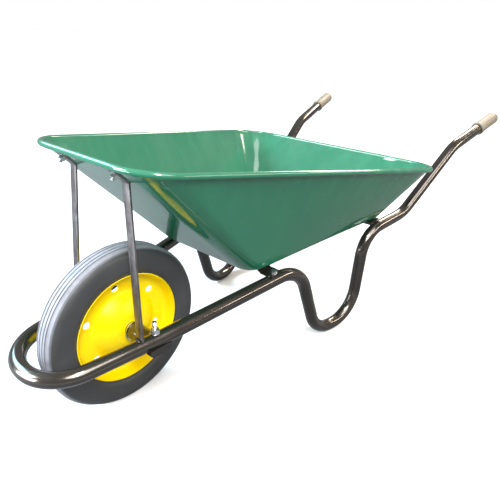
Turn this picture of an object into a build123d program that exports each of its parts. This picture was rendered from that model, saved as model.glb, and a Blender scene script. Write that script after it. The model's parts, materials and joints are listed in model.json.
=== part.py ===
from build123d import *
import math
import os

# Builder's wheelbarrow: bent tube frame, pressed pan, solid-tyred wheel.
# Millimetres, +X forward to the wheel, +Y to the left, +Z up, ground at z = 0.
# The model is laid out with the axle at x = 0 and then moved so that the origin
# is at the bottom centre of the whole part.

# Wheel
TYRE_RADIUS = 180.0
TYRE_HALF_WIDTH = 32.0
CROWN_HALF_WIDTH = 22.0
SHOULDER_DROP = 5.0
GROOVE_DEPTH = 2.5
GROOVE_WIDTH = 2.5
GROOVE_OFFSETS = (5.0, 13.5)
BEAD_LIP = 1.0
BEAD_STEP = 0.6
SIDE_BULGE = ((11.0, 1.0), (25.0, 0.0))
SHOULDER_ROUND = ((20.0, 0.6), (11.0, 3.2))
CROWN_LEAD = 1.5
CROWN_ROUND = (1.6, 4.5)
RIM_RADIUS = 121.0
RIM_HALF_WIDTH = 26.0
SHEET = 2.0
VALLEY_INNER = 78.0
VALLEY_OUTER = 102.0
VALLEY_LEAD = 8.0
VALLEY_LIFT = 4.5
FLARE_PROFILE = ((0.38, 0.12), (0.62, 0.40), (0.84, 0.78))
HUB_RADIUS = 19.0
HUB_HALF_LENGTH = 38.0
HUB_PROUD = 7.0
HUB_FLAT_RUN = 12.0
DOME_MID_RUN = 34.0
DOME_MID_SHARE = 0.68
HOLE_COUNT = 6
HOLE_RADIUS = 8.0
HOLE_START_ANGLE = -7.5
AXLE_RADIUS = 10.0
AXLE_HALF_LENGTH = 90.0
AXLE_CHAMFER = 1.0
RUNNING_CLEARANCE = 0.05
SEAT_CLEARANCE = 0.05
SIDE_GAP = 0.9
SPACER_THICKNESS = 3.0
SPACER_RADIUS = 22.0

# Frame tube
TUBE_RADIUS = 16.0
TUBE_WALL = 2.0
TUBE_ABOVE_AXLE = 17.0
AXLE_GAUGE = 117.6
FRONT_TAPER = math.radians(10.1)
REAR_TAPER = math.radians(8.4)
NOSE_CLEARANCE = 18.0
NOSE_FLAT = 6.0
NOSE_FALL = math.radians(3.8)
CHASSIS_RISE = math.radians(6.35)
LEG_X = -527.0
LEG_FLAT = 8.0
LEG_BEND = 86.0
LEG_FRONT_LEAN = math.radians(19.8)
LEG_REAR_LEAN = math.radians(3.4)
SHELF_HEIGHT = 264.0
SHELF_RISE = math.radians(6.8)
SHELF_RUN = 175.0
RISER_RISE = math.radians(36.2)
RISER_RUN = 225.0
GRIP_RISE = math.radians(15.8)
GRIP_RUN = 233.0
AXLE_BEND = 300.0
NOSE_JOIN_X = -45.0
SHELF_JOIN = 0.55
CHASSIS_BEND = 85.0
SHELF_BEND = 76.0
KINK_BEND = 110.0
HANDLE_BEND = 120.0

# Pan
PAN_SHEET = 1.5
RIM_FRONT_X = 53.5
RIM_LENGTH = 874.0
RIM_FRONT_HALF = 181.5
RIM_REAR_HALF = 350.0
RIM_FRONT_CORNER = 89.0
RIM_REAR_CORNER = 100.0
RIM_FRONT_DEPTH = 293.5
RIM_FALL = math.radians(7.84)
BEAD_RADIUS = 6.0
FLOOR_FRONT_X = -245.0
FLOOR_LENGTH = 460.0
FLOOR_FRONT_HALF = 149.0
FLOOR_REAR_HALF = 231.0
FLOOR_FRONT_CORNER = 45.0
FLOOR_REAR_CORNER = 32.0
FLOOR_EDGE_BEND = 14.0

# Crossbars between the tubes and the pan floor
FRONT_BAR_X = -298.0
FRONT_BAR_HEIGHT = 14.5
FRONT_BAR_WIDTH = 36.0
FRONT_BAR_OVERHANG = 8.0
CRANK_FROM_TUBE = 24.0
CRANK_RUN = 16.0
REAR_BAR_X = -672.0
REAR_BAR_HEIGHT = 7.0
REAR_BAR_WIDTH = 40.0
BAR_SHEET = 4.0
SADDLE_DEPTH = 1.0

# Stays from the tubes to the front wall of the pan
STAY_WIDTH = 20.0
STAY_THICKNESS = 4.0
STAY_TOP_X = 16.0
STAY_TOP_Y = 83.0
STAY_FOOT_X = 34.5
STAY_TAB = 37.0
STAY_BOLT_RUN = 24.0

# Axle housings
HOUSING_RADIUS = 20.0
BUSH_WALL = 3.0
BUSH_LENGTH = 38.0
PAD_X = 5.0
PAD_HALF_LENGTH = 26.0
PAD_INNER_Y = 90.0
PAD_OUTER_Y = 135.0
PAD_BELOW_TUBE = 7.0
PAD_UP_TUBE = 9.0
PAD_CORNER = 6.0
END_GAP = 2.0

# Fasteners
BOLT_RADIUS = 4.0
NUT_FLATS = 13.0
NUT_HEIGHT = 6.5
WASHER_RADIUS = 8.5
WASHER_HEIGHT = 1.6
HEAD_HEIGHT = 5.3
DOME_RADIUS = 9.0
DOME_HEIGHT = 4.5
HOLE_CLEARANCE = 0.3
THREAD_SPARE = 5.0
FLOOR_THREAD_SPARE = 2.5
DOME_ROUND_SHARE = 0.7
HOUSING_BOLT_RADIUS = 5.0
HOUSING_HEAD_HEIGHT = 6.3
HOUSING_WASHER_RADIUS = 10.0
HOUSING_NUT_FLATS = 16.0
HOUSING_NUT_HEIGHT = 8.0
HOUSING_THREAD_SPARE = 17.0
TOP_WASHER_LIFT = 1.2
FRONT_PAN_BOLT_Y = 92.0
REAR_PAN_BOLT_Y = 150.0

# Grips
GRIP_LENGTH = 98.0
GRIP_WALL = 2.4
GRIP_CLEARANCE = 0.1
GRIP_END = 5.0
GRIP_END_ROUND = 7.0
GRIP_COLLAR_RISE = 2.0
GRIP_COLLAR_LENGTH = 7.0
GRIP_COLLAR_ROUND = 1.5

GRIP_RADIUS = TUBE_RADIUS + GRIP_CLEARANCE + GRIP_WALL
AXLE_Z = TYRE_RADIUS
NOSE_REACH = TYRE_RADIUS + NOSE_CLEARANCE + TUBE_RADIUS
HUB_DOME = HUB_HALF_LENGTH - HUB_PROUD
TUBE_AXLE_Z = AXLE_Z + TUBE_ABOVE_AXLE
HOUSING_INNER_Y = HUB_HALF_LENGTH + SEAT_CLEARANCE + SPACER_THICKNESS + SIDE_GAP
SKIN = 1.0


def tube_y(x):
    """Half distance between the tube centres at a station along the frame."""
    if x >= LEG_X:
        return AXLE_GAUGE - math.tan(FRONT_TAPER) * x
    at_leg = AXLE_GAUGE - math.tan(FRONT_TAPER) * LEG_X
    return at_leg + math.tan(REAR_TAPER) * (LEG_X - x)


def frame_corners():
    """Corner points of the left half of the frame tube, and the bend radii."""
    nose_z = TUBE_AXLE_Z - math.tan(NOSE_FALL) * NOSE_REACH
    nose_y = tube_y(NOSE_REACH)
    front_turn = (math.pi / 2 - LEG_FRONT_LEAN) / 2
    rear_turn = (math.pi / 2 - LEG_REAR_LEAN) / 2
    foot_front_x = LEG_X + LEG_FLAT / 2 + LEG_BEND * math.tan(front_turn)
    foot_rear_x = LEG_X - LEG_FLAT / 2 - LEG_BEND * math.tan(rear_turn)
    slope = math.tan(CHASSIS_RISE)
    lean = math.tan(LEG_FRONT_LEAN)
    peak_z = TUBE_AXLE_Z - slope * (foot_front_x - lean * TUBE_RADIUS)
    peak_z = peak_z / (1 + slope * lean)
    peak_x = foot_front_x + lean * (peak_z - TUBE_RADIUS)
    shelf_x = foot_rear_x - math.tan(LEG_REAR_LEAN) * (SHELF_HEIGHT - TUBE_RADIUS)
    kink_x = shelf_x - SHELF_RUN
    kink_z = SHELF_HEIGHT + math.tan(SHELF_RISE) * SHELF_RUN
    handle_x = kink_x - RISER_RUN
    handle_z = kink_z + math.tan(RISER_RISE) * RISER_RUN
    end_x = handle_x - GRIP_RUN
    end_z = handle_z + math.tan(GRIP_RISE) * GRIP_RUN
    stations = (
        (NOSE_REACH, nose_z),
        (0.0, TUBE_AXLE_Z),
        (peak_x, peak_z),
        (foot_front_x, TUBE_RADIUS),
        (foot_rear_x, TUBE_RADIUS),
        (shelf_x, SHELF_HEIGHT),
        (kink_x, kink_z),
        (handle_x, handle_z),
        (end_x, end_z),
    )
    points = [Vector(NOSE_REACH, 0, nose_z)]
    points += [Vector(x, tube_y(x), z) for x, z in stations]
    nose_turn = (points[1] - points[0]).get_angle(points[2] - points[1])
    nose_bend = (nose_y - NOSE_FLAT / 2) / math.tan(math.radians(nose_turn) / 2)
    radii = [
        nose_bend,
        AXLE_BEND,
        CHASSIS_BEND,
        LEG_BEND,
        LEG_BEND,
        SHELF_BEND,
        KINK_BEND,
        HANDLE_BEND,
    ]
    return points, radii


def corner_arc(before, corner, after, radius):
    """Start, middle and end of the tangent arc that rounds a corner."""
    to_before = (before - corner).normalized()
    to_after = (after - corner).normalized()
    half_angle = math.radians(to_before.get_angle(to_after)) / 2
    run = radius / math.tan(half_angle)
    inward = (to_before + to_after).normalized()
    middle = corner + inward * (radius / math.sin(half_angle) - radius)
    return corner + to_before * run, middle, corner + to_after * run


def bent_path(points, radii):
    """Straight runs through the points, joined by tangent arcs."""
    edges = []
    start = points[0]
    for before, corner, after, radius in zip(points, points[1:], points[2:], radii):
        first, middle, last = corner_arc(before, corner, after, radius)
        edges.append(Edge.make_line(start, first))
        edges.append(Edge.make_three_point_arc(first, middle, last))
        start = last
    edges.append(Edge.make_line(start, points[-1]))
    return edges


def rounded_loop(corners, radii):
    """Closed wire through four corners, each rounded with its own radius."""
    count = len(corners)
    arcs = []
    for index in range(count):
        before = corners[index - 1]
        after = corners[(index + 1) % count]
        arcs.append(corner_arc(before, corners[index], after, radii[index]))
    edges = []
    for index in range(count):
        first, middle, last = arcs[index]
        edges.append(Edge.make_three_point_arc(first, middle, last))
        edges.append(Edge.make_line(last, arcs[(index + 1) % count][0]))
    return Wire(edges)


def point_at_x(edges, x):
    """Point of the tube centre line at a station between the axle and the kink."""
    for edge in edges:
        low = edge.position_at(0)
        high = edge.position_at(1)
        if not (high.X <= x <= low.X):
            continue
        start, end = 0.0, 1.0
        for _ in range(40):
            middle = (start + end) / 2
            if edge.position_at(middle).X > x:
                start = middle
            else:
                end = middle
        return edge.position_at(start)
    raise ValueError("station is off the tube")


def swept_tube(edges, radius):
    """Round bar of the given radius along a path."""
    wire = Wire(edges)
    plane = Plane(origin=wire.position_at(0), z_dir=wire.tangent_at(0))
    return sweep(plane * Circle(radius), path=wire)


def swept_loop(wire, radius):
    """Round bar of the given radius along a closed loop, started on a straight run."""
    straight = wire.edges().filter_by(GeomType.LINE)[0]
    plane = Plane(origin=straight.position_at(0), z_dir=straight.tangent_at(0))
    return sweep(plane * Circle(radius), path=wire)


def mirrored(shape):
    """The same shape on the right-hand side."""
    return mirror(shape, about=Plane.XZ)


def y_cylinder(radius, y_start, y_end, x=0.0, z=AXLE_Z):
    """Cylinder along Y between two stations."""
    plane = Plane(origin=(x, y_start, z), z_dir=(0, 1, 0))
    return extrude(plane * Circle(radius), amount=y_end - y_start)


def lathe(points):
    """Solid of revolution about the axle from (radius, y) points."""
    outline = Polyline(*[(radius, y) for radius, y in points], close=True)
    section = Plane.XY * make_face(outline)
    solid = revolve(section, axis=Axis.Y)
    return Pos(0, 0, AXLE_Z) * solid


def offset_line(points, distance):
    """Points moved sideways by a distance, mitred at the corners."""
    moved = []
    for index, (a, b) in enumerate(points):
        normals = []
        for start, end in ((index - 1, index), (index, index + 1)):
            if start < 0 or end >= len(points):
                continue
            run = points[end][0] - points[start][0]
            rise = points[end][1] - points[start][1]
            length = math.hypot(run, rise)
            normals.append((-rise / length, run / length))
        mean_a = sum(normal[0] for normal in normals) / len(normals)
        mean_b = sum(normal[1] for normal in normals) / len(normals)
        scale = distance / (mean_a ** 2 + mean_b ** 2)
        moved.append((a + mean_a * scale, b + mean_b * scale))
    return moved


# Wheel


def disc_line():
    """Middle line of one pressed disc, from the hub out to the lip, as (radius, y)."""
    seam = SHEET / 2 + SEAT_CLEARANCE / 2
    hub_edge = HUB_RADIUS + SEAT_CLEARANCE
    flare = RIM_RADIUS - VALLEY_OUTER
    return [
        (hub_edge, HUB_DOME),
        (hub_edge + HUB_FLAT_RUN, HUB_DOME),
        (hub_edge + DOME_MID_RUN, HUB_DOME * DOME_MID_SHARE),
        (VALLEY_INNER - VALLEY_LEAD, seam + VALLEY_LIFT),
        (VALLEY_INNER, seam),
        (VALLEY_OUTER, seam),
        *((VALLEY_OUTER + flare * run, RIM_HALF_WIDTH * rise) for run, rise in FLARE_PROFILE),
        (RIM_RADIUS, RIM_HALF_WIDTH),
    ]


def make_disc():
    """Left half of the wheel disc with its round holes."""
    line = disc_line()
    outer = offset_line(line, SHEET / 2)
    inner = offset_line(line, -SHEET / 2)
    disc = lathe(outer + inner[::-1])
    hole_circle = (VALLEY_INNER + VALLEY_OUTER) / 2
    for index in range(HOLE_COUNT):
        angle = math.radians(HOLE_START_ANGLE + 360 / HOLE_COUNT * index)
        x = -hole_circle * math.sin(angle)
        z = AXLE_Z + hole_circle * math.cos(angle)
        disc -= y_cylinder(HOLE_RADIUS, -RIM_HALF_WIDTH, RIM_HALF_WIDTH, x, z)
    return disc


def make_tyre():
    """Solid tyre: bead in the rim channel, round shoulders, grooved tread."""
    line = disc_line()[5:]
    seat = offset_line(line, -SHEET / 2 - SEAT_CLEARANCE)
    seat[0] = (seat[0][0] + SHEET / 2, 0.0)
    side = [
        (seat[-1][0] + BEAD_STEP, seat[-1][1]),
        (RIM_RADIUS + SHEET, RIM_HALF_WIDTH + BEAD_LIP),
        *((RIM_RADIUS + out, TYRE_HALF_WIDTH - drop) for out, drop in SIDE_BULGE),
        *((TYRE_RADIUS - back, TYRE_HALF_WIDTH - drop) for back, drop in SHOULDER_ROUND),
        (TYRE_RADIUS - SHOULDER_DROP, CROWN_HALF_WIDTH + CROWN_LEAD),
        (TYRE_RADIUS - CROWN_ROUND[0], CROWN_HALF_WIDTH - CROWN_ROUND[1]),
    ]
    tread = []
    for centre in reversed(GROOVE_OFFSETS):
        tread.append((TYRE_RADIUS, centre + GROOVE_WIDTH / 2))
        tread.append((TYRE_RADIUS - GROOVE_DEPTH, centre + GROOVE_WIDTH / 4))
        tread.append((TYRE_RADIUS - GROOVE_DEPTH, centre - GROOVE_WIDTH / 4))
        tread.append((TYRE_RADIUS, centre - GROOVE_WIDTH / 2))
    half = seat[1:] + side + tread
    other = [(radius, -y) for radius, y in reversed(half)]
    return lathe([seat[0]] + half + other)


def make_hub_sleeve():
    """Sleeve that carries both discs on the axle."""
    sleeve = y_cylinder(HUB_RADIUS, -HUB_HALF_LENGTH, HUB_HALF_LENGTH)
    bore = y_cylinder(AXLE_RADIUS + SEAT_CLEARANCE, -HUB_HALF_LENGTH, HUB_HALF_LENGTH)
    return sleeve - bore


def make_axle():
    """Plain axle with chamfered ends."""
    axle = y_cylinder(AXLE_RADIUS, -AXLE_HALF_LENGTH, AXLE_HALF_LENGTH)
    return chamfer(axle.edges().filter_by(GeomType.CIRCLE), AXLE_CHAMFER)


def make_spacer():
    """Zinc spacer washer at the left end of the hub sleeve."""
    start = HUB_HALF_LENGTH + SEAT_CLEARANCE
    ring = y_cylinder(SPACER_RADIUS, start, start + SPACER_THICKNESS)
    return ring - y_cylinder(AXLE_RADIUS + SEAT_CLEARANCE, start, start + SPACER_THICKNESS)


# Fasteners, drawn along a plane: the plane's origin is the seat, z_dir the shank


def hex_head(plane, flats, height):
    """Hexagonal head standing back from the seat."""
    face = plane * RegularPolygon(flats / 2, 6, major_radius=False)
    return extrude(face, amount=-height)


def bolt(plane, radius, flats, head_height, length):
    """Hexagon bolt: head behind the seat, shank along the plane's normal."""
    return hex_head(plane, flats, head_height) + extrude(plane * Circle(radius), amount=length)


def dome_bolt(plane, radius, length):
    """Round-headed bolt: low dome behind the seat, shank along the normal."""
    head = extrude(plane * Circle(DOME_RADIUS), amount=-DOME_HEIGHT)
    head = fillet(head.edges().group_by(Axis(plane.origin, plane.z_dir))[0], DOME_HEIGHT * DOME_ROUND_SHARE)
    return head + extrude(plane * Circle(radius), amount=length)


def nut(plane, radius, flats, height):
    """Hexagon nut standing on the seat along the plane's normal."""
    body = extrude(plane * RegularPolygon(flats / 2, 6, major_radius=False), amount=height)
    return body - extrude(plane * Circle(radius + SEAT_CLEARANCE), amount=height)


def washer(plane, radius, outer=WASHER_RADIUS):
    """Flat washer standing on the seat along the plane's normal."""
    disc = extrude(plane * Circle(outer), amount=WASHER_HEIGHT)
    return disc - extrude(plane * Circle(radius + SEAT_CLEARANCE), amount=WASHER_HEIGHT)


def drill(plane, radius, depth):
    """Clearance hole through a joint, running both ways from the plane."""
    return extrude(plane * Circle(radius + HOLE_CLEARANCE), amount=depth, both=True)


def along(plane, distance):
    """The same plane moved along its normal."""
    return plane.offset(distance)


# Pan planes and outlines


def make_pan_layout(edges):
    """Floor and rim lines of the pan, set on the two crossbars."""
    front_top = point_at_x(edges, FRONT_BAR_X).Z + TUBE_RADIUS + FRONT_BAR_HEIGHT
    rear_top = point_at_x(edges, REAR_BAR_X).Z + TUBE_RADIUS + REAR_BAR_HEIGHT
    slope = (front_top - rear_top) / (FRONT_BAR_X - REAR_BAR_X)
    rim_z = front_top + slope * (FLOOR_FRONT_X - FRONT_BAR_X) + RIM_FRONT_DEPTH
    return {"floor_z": front_top, "floor_slope": slope, "rim_z": rim_z}


def floor_point(layout, x, y, lift=0.0):
    """Point on the underside of the pan floor, or above it."""
    z = layout["floor_z"] + layout["floor_slope"] * (x - FRONT_BAR_X)
    return Vector(x, y, z + lift)


def rim_point(layout, x, y):
    """Point on the plane of the rim bead's centre."""
    return Vector(x, y, layout["rim_z"] + math.tan(RIM_FALL) * (x - RIM_FRONT_X))


def wall_angles(layout):
    """Angles of the front, side and rear walls above the horizontal."""
    rim_rear_x = RIM_FRONT_X - RIM_LENGTH
    floor_rear_x = FLOOR_FRONT_X - FLOOR_LENGTH
    front_rise = rim_point(layout, RIM_FRONT_X, 0).Z - floor_point(layout, FLOOR_FRONT_X, 0).Z
    rear_rise = rim_point(layout, rim_rear_x, 0).Z - floor_point(layout, floor_rear_x, 0).Z
    front = math.atan2(front_rise, RIM_FRONT_X - FLOOR_FRONT_X)
    rear = math.atan2(rear_rise, floor_rear_x - rim_rear_x)
    flare = RIM_FRONT_HALF + RIM_REAR_HALF - FLOOR_FRONT_HALF - FLOOR_REAR_HALF
    side = math.atan2(front_rise + rear_rise, flare)
    return front, side, rear


def rim_loop(layout, inset_front, inset_side, inset_rear):
    """Rim outline moved inwards from the bead's centre line."""
    front = RIM_FRONT_X - inset_front
    rear = RIM_FRONT_X - RIM_LENGTH + inset_rear
    front_half = RIM_FRONT_HALF - inset_side
    rear_half = RIM_REAR_HALF - inset_side
    corners = [
        rim_point(layout, front, front_half),
        rim_point(layout, front, -front_half),
        rim_point(layout, rear, -rear_half),
        rim_point(layout, rear, rear_half),
    ]
    front_corner = RIM_FRONT_CORNER - inset_side
    rear_corner = RIM_REAR_CORNER - inset_side
    return rounded_loop(corners, [front_corner, front_corner, rear_corner, rear_corner])


def floor_loop(layout, lift, out_front, out_side, out_rear):
    """Floor outline lifted off the underside and moved outwards."""
    front = FLOOR_FRONT_X + out_front
    rear = FLOOR_FRONT_X - FLOOR_LENGTH - out_rear
    front_half = FLOOR_FRONT_HALF + out_side
    rear_half = FLOOR_REAR_HALF + out_side
    corners = [
        floor_point(layout, front, front_half, lift),
        floor_point(layout, front, -front_half, lift),
        floor_point(layout, rear, -rear_half, lift),
        floor_point(layout, rear, rear_half, lift),
    ]
    radii = [FLOOR_FRONT_CORNER, FLOOR_FRONT_CORNER, FLOOR_REAR_CORNER, FLOOR_REAR_CORNER]
    return rounded_loop(corners, [radius + out_side for radius in radii])


def inner_floor_step(angle):
    """How far the inner floor outline moves for a wall at this angle."""
    return PAN_SHEET / math.tan(angle) - PAN_SHEET / math.sin(angle)


def pan_body(bottom, top, bend):
    """Tapered block between two outlines with its bottom edge rounded."""
    block = loft([Face(bottom), Face(top)], ruled=True)
    floor = block.faces().sort_by(Axis.Z)[0]
    return fillet(floor.edges(), bend)


def make_pan(layout):
    """Pressed pan: floor, four flared walls and the rolled bead at the rim."""
    front, side, rear = wall_angles(layout)
    wall = BEAD_RADIUS - PAN_SHEET
    outer = pan_body(
        floor_loop(layout, 0.0, 0.0, 0.0, 0.0),
        rim_loop(layout, wall, wall, wall),
        FLOOR_EDGE_BEND,
    )
    steps = [inner_floor_step(angle) for angle in (front, side, rear)]
    insets = [wall + PAN_SHEET / math.sin(angle) for angle in (front, side, rear)]
    inner = pan_body(
        floor_loop(layout, PAN_SHEET, *steps),
        rim_loop(layout, *insets),
        FLOOR_EDGE_BEND - PAN_SHEET,
    )
    bead_line = rim_loop(layout, 0.0, 0.0, 0.0)
    pan = outer - inner
    pan += swept_loop(bead_line, BEAD_RADIUS)
    return pan - swept_loop(bead_line, BEAD_RADIUS - PAN_SHEET)


def make_rim_wire(layout):
    """Stiffening wire rolled into the bead."""
    bead_line = rim_loop(layout, 0.0, 0.0, 0.0)
    return swept_loop(bead_line, BEAD_RADIUS - PAN_SHEET - SEAT_CLEARANCE)


# Crossbars


def floor_plane(layout, x, y):
    """Plane on the pan floor's underside with its normal pointing down."""
    angle = math.atan(layout["floor_slope"])
    return Plane(
        origin=floor_point(layout, x, y),
        x_dir=(math.cos(angle), 0, math.sin(angle)),
        z_dir=(math.sin(angle), 0, -math.cos(angle)),
    )


def front_bar_drop():
    """How far the bar's ends lie below its middle."""
    return FRONT_BAR_HEIGHT - BAR_SHEET + SADDLE_DEPTH


def make_front_bar(layout, envelope):
    """Flat bar under the pan floor, cranked down at both ends onto the tubes."""
    seat = floor_plane(layout, FRONT_BAR_X, 0)
    across = Plane(origin=seat.origin, x_dir=(0, 1, 0), z_dir=seat.x_dir)
    foot = tube_y(FRONT_BAR_X) - CRANK_FROM_TUBE
    end = tube_y(FRONT_BAR_X) + FRONT_BAR_OVERHANG
    half = [(foot - CRANK_RUN, 0.0), (foot, -front_bar_drop()), (end, -front_bar_drop())]
    top = [(-y, z) for y, z in reversed(half)] + half
    under = offset_line(top, -BAR_SHEET)
    profile = Polyline(*top, *reversed(under), close=True)
    bar = extrude(across * make_face(profile), amount=FRONT_BAR_WIDTH / 2, both=True)
    return bar - envelope


def make_rear_bar(layout, envelope):
    """Flat bar across both tubes, saddled where it crosses them."""
    plane = floor_plane(layout, REAR_BAR_X, 0)
    length = 2 * (tube_y(REAR_BAR_X) - SKIN)
    bar = plane * Rectangle(REAR_BAR_WIDTH, length)
    return extrude(bar, amount=REAR_BAR_HEIGHT + SKIN) - envelope


# Stays


def wall_height(layout, x):
    """Height of the front wall's outer face at a station."""
    foot = floor_point(layout, FLOOR_FRONT_X, 0)
    top_x = RIM_FRONT_X - BEAD_RADIUS + PAN_SHEET
    top = rim_point(layout, top_x, 0)
    return foot.Z + (top.Z - foot.Z) * (x - foot.X) / (top.X - foot.X)


def front_wall_angle(layout):
    """Slope of the front wall's outer face."""
    rise = wall_height(layout, RIM_FRONT_X) - wall_height(layout, FLOOR_FRONT_X)
    return math.atan2(rise, RIM_FRONT_X - FLOOR_FRONT_X)


def stay_bolt_plane(layout):
    """Plane on the front wall at the left stay's bolt, normal pointing outwards."""
    angle = front_wall_angle(layout)
    x = STAY_TOP_X + STAY_BOLT_RUN * math.cos(angle)
    return Plane(
        origin=(x, STAY_TOP_Y, wall_height(layout, x)),
        x_dir=(math.cos(angle), 0, math.sin(angle)),
        z_dir=(math.sin(angle), 0, -math.cos(angle)),
    )


def make_stay(layout, envelope):
    """Flat bar from the top of the tube up to the front wall, bent over at the top."""
    angle = front_wall_angle(layout)
    top_front = STAY_TOP_X + STAY_THICKNESS
    foot_front = STAY_FOOT_X + STAY_THICKNESS
    foot_z = TUBE_AXLE_Z
    drop = STAY_THICKNESS / math.cos(angle)
    tab_x = STAY_TOP_X + STAY_TAB * math.cos(angle)
    tab_z = wall_height(layout, STAY_TOP_X) + STAY_TAB * math.sin(angle)
    profile = Polyline(
        (STAY_FOOT_X, foot_z),
        (foot_front, foot_z),
        (top_front, wall_height(layout, top_front) - drop),
        (tab_x + STAY_THICKNESS * math.sin(angle), tab_z - STAY_THICKNESS * math.cos(angle)),
        (tab_x, tab_z),
        (STAY_TOP_X, wall_height(layout, STAY_TOP_X)),
        close=True,
    )
    foot_y = tube_y(STAY_FOOT_X)
    half = STAY_WIDTH / 2
    bent = extrude(Plane.XZ * make_face(profile), amount=-(foot_y + STAY_WIDTH))
    bend_z = wall_height(layout, STAY_TOP_X) - drop
    lean = Polyline(
        (foot_y - half, foot_z),
        (foot_y + half, foot_z),
        (STAY_TOP_Y + half, bend_z),
        (STAY_TOP_Y + half, bend_z + STAY_TAB + drop),
        (STAY_TOP_Y - half, bend_z + STAY_TAB + drop),
        (STAY_TOP_Y - half, bend_z),
        close=True,
    )
    slab = extrude(Plane.YZ * make_face(lean), amount=RIM_FRONT_X + STAY_TAB)
    return (bent & slab) - drill(stay_bolt_plane(layout), BOLT_RADIUS, STAY_TAB) - envelope


# Housings


def housing_bolt_plane():
    """Seat of the housing bolt's head under the left pad, shank pointing up."""
    pad_bottom = TUBE_AXLE_Z - TUBE_RADIUS - PAD_BELOW_TUBE
    return Plane(origin=(PAD_X, tube_y(PAD_X), pad_bottom), z_dir=(0, 0, 1))


def make_housing(envelope):
    """Black axle housing with a pad that cups the underside of the tube."""
    bottom = TUBE_AXLE_Z - TUBE_RADIUS - PAD_BELOW_TUBE
    top = bottom + PAD_BELOW_TUBE + PAD_UP_TUBE
    boss = y_cylinder(HOUSING_RADIUS, HOUSING_INNER_Y, tube_y(0) - TUBE_RADIUS)
    pad = Pos(PAD_X, (PAD_INNER_Y + PAD_OUTER_Y) / 2, (bottom + top) / 2) * Box(
        2 * PAD_HALF_LENGTH, PAD_OUTER_Y - PAD_INNER_Y, top - bottom
    )
    pad = chamfer(pad.edges().filter_by(Axis.Y).group_by(Axis.Z)[0], PAD_CORNER)
    bore_end = AXLE_HALF_LENGTH + END_GAP
    bore = y_cylinder(AXLE_RADIUS + BUSH_WALL, HOUSING_INNER_Y, bore_end)
    hole = drill(housing_bolt_plane(), HOUSING_BOLT_RADIUS, 2 * PAD_BELOW_TUBE + PAD_UP_TUBE)
    return boss + pad - bore - hole - envelope


def make_bush():
    """Bronze bush pressed into the housing; the axle runs in it."""
    start = HOUSING_INNER_Y
    outer = y_cylinder(AXLE_RADIUS + BUSH_WALL - SEAT_CLEARANCE, start, start + BUSH_LENGTH)
    return outer - y_cylinder(AXLE_RADIUS + RUNNING_CLEARANCE, start, start + BUSH_LENGTH)


# Grips


def grip_plane(points):
    """Plane at the left tube end with its normal along the handle, outwards."""
    direction = (points[-1] - points[-2]).normalized()
    return Plane(origin=points[-1], z_dir=direction)


def make_grip(plane):
    """Moulded grip with a closed round end and a collar at its inner end."""
    start = plane.offset(-GRIP_LENGTH)
    body = extrude(start * Circle(GRIP_RADIUS), amount=GRIP_LENGTH + GRIP_END)
    outer_rim = body.edges().group_by(Axis(plane.origin, plane.z_dir))[-1]
    body = fillet(outer_rim, GRIP_END_ROUND)
    collar = extrude(start * Circle(GRIP_RADIUS + GRIP_COLLAR_RISE), amount=GRIP_COLLAR_LENGTH)
    collar = fillet(collar.edges().filter_by(GeomType.CIRCLE), GRIP_COLLAR_ROUND)
    bore = extrude(start * Circle(TUBE_RADIUS + GRIP_CLEARANCE), amount=GRIP_LENGTH)
    return body + collar - bore


def make_half_tube(edges, holes):
    """The hollow left half of the frame tube, from the nose to the grip."""
    half = swept_tube(edges, TUBE_RADIUS) - swept_tube(edges, TUBE_RADIUS - TUBE_WALL)
    for hole in holes:
        half -= hole
    return half


def tube_length_between(half, front_x, rear_x):
    """The stretch of the tube between two stations along the frame."""
    box = half.bounding_box()
    length = front_x - rear_x
    block = Box(length, 2 * box.size.Y, 2 * box.size.Z)
    centre = Pos((front_x + rear_x) / 2, box.center().Y, box.center().Z)
    return half & centre * block


def bar_bolt_plane(layout):
    """Top of the front bar's left end, where its bolt goes down into the tube."""
    return along(floor_plane(layout, FRONT_BAR_X, tube_y(FRONT_BAR_X)), front_bar_drop())


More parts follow.
